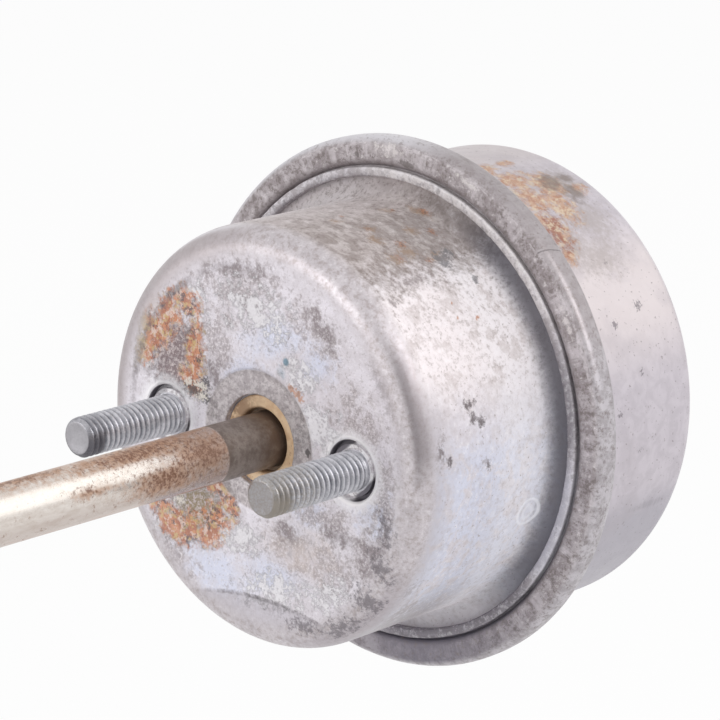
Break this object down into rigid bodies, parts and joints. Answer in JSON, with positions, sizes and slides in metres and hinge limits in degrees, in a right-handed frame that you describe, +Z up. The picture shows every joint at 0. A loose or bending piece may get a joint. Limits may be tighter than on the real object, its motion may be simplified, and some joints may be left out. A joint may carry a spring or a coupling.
{
  "type": "wastegate actuator",
  "caption": "Wastegate actuator: crimped round cans with a sprung diaphragm inside, mounting studs, and a push rod that slides through a bush to an eye end.",
  "frame": {"origin": "centre of the front face, on the rod's axis", "axes": "-Y along the rod, out of the front face; +Y towards the hose nipple; +Z up; the studs lie beside the rod along X, turned 2.8 degrees about the rod"},
  "size_m": [0.0804, 0.1855, 0.0804],
  "materials": {
    "zinc_front": "dull zinc plate, mottled, with rust spots",
    "zinc_rear": "satin zinc plate with small dark specks",
    "nipple_steel": "satin zinc plate",
    "braze": "dull brazing metal",
    "plate_steel": "plain pressed steel",
    "stud_steel": "dull zinc plate over rolled thread",
    "bush_tan": "matte, tan, slightly dirty",
    "wiper_felt": "matte felt",
    "spring_steel": "oiled spring wire",
    "diaphragm_rubber": "matte black",
    "seal_rubber": "matte black",
    "hardware_zinc": "satin zinc plate",
    "rod_steel": "polished steel with brown rust stains",
    "rod_end_steel": "satin zinc plate"
  },
  "bodies": {
    "housing": {"front_can": "zinc_front", "rear_can": "zinc_rear", "hose_nipple": "nipple_steel", "braze_ring": "braze", "stud_plate": "plate_steel", "stud_left": "stud_steel", "stud_right": "stud_steel", "rod_bush": "bush_tan", "bush_housing": "plate_steel", "rod_wiper": "wiper_felt", "spring_seat": "plate_steel", "return_spring": "spring_steel", "diaphragm": "diaphragm_rubber"},
    "plunger": {"piston": "plate_steel", "retainer_plate": "plate_steel", "rod_seal": "seal_rubber", "rod_washer": "hardware_zinc", "rod_nut": "hardware_zinc", "rod": "rod_steel", "lock_nut": "hardware_zinc", "rod_end": "rod_end_steel"}
  },
  "joints": [
    {"name": "rod_slide", "type": "slide", "parent": "housing", "child": "plunger", "axis": [0, -1, 0], "range_m": [0, 0.012], "stiffness_N_per_m": 6000, "springref_m": -0.002, "deforming": ["return_spring", "diaphragm"]}
  ]
}
